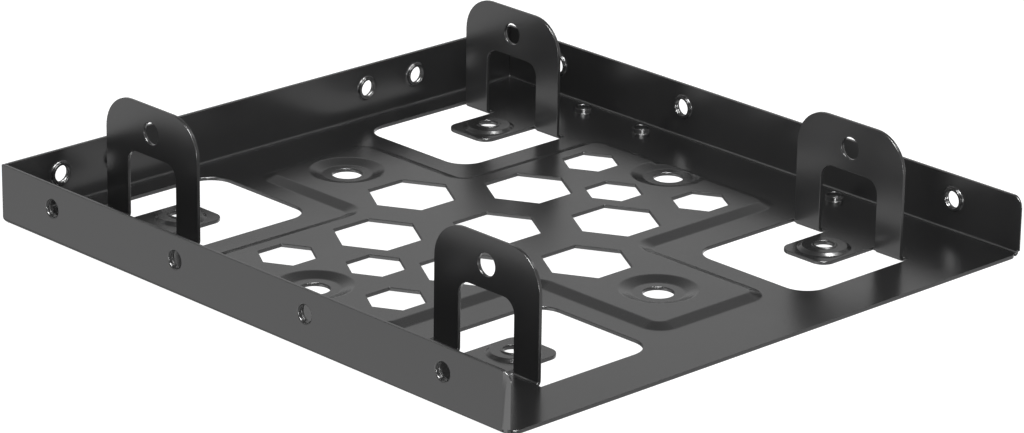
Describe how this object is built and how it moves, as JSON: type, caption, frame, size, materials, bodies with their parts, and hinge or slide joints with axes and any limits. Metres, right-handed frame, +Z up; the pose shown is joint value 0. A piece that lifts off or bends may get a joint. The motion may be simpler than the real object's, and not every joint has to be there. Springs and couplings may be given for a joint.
{
  "type": "drive bay adapter bracket",
  "caption": "Shallow folded steel tray with low side and rear walls, arched upright ears that hold a drive, a raised vented cross in the floor, and collared screw holes.",
  "frame": {"origin": "middle of the tray's outline, on the flat underside", "axes": "+X towards the right side wall, +Y towards the rear wall, -Y is the open front, +Z up"},
  "size_m": [0.1454, 0.154, 0.0268],
  "materials": {
    "black_coat": "satin black baked paint on thin steel sheet"
  },
  "bodies": {
    "root": {"bracket_tray": "black_coat"}
  },
  "joints": []
}
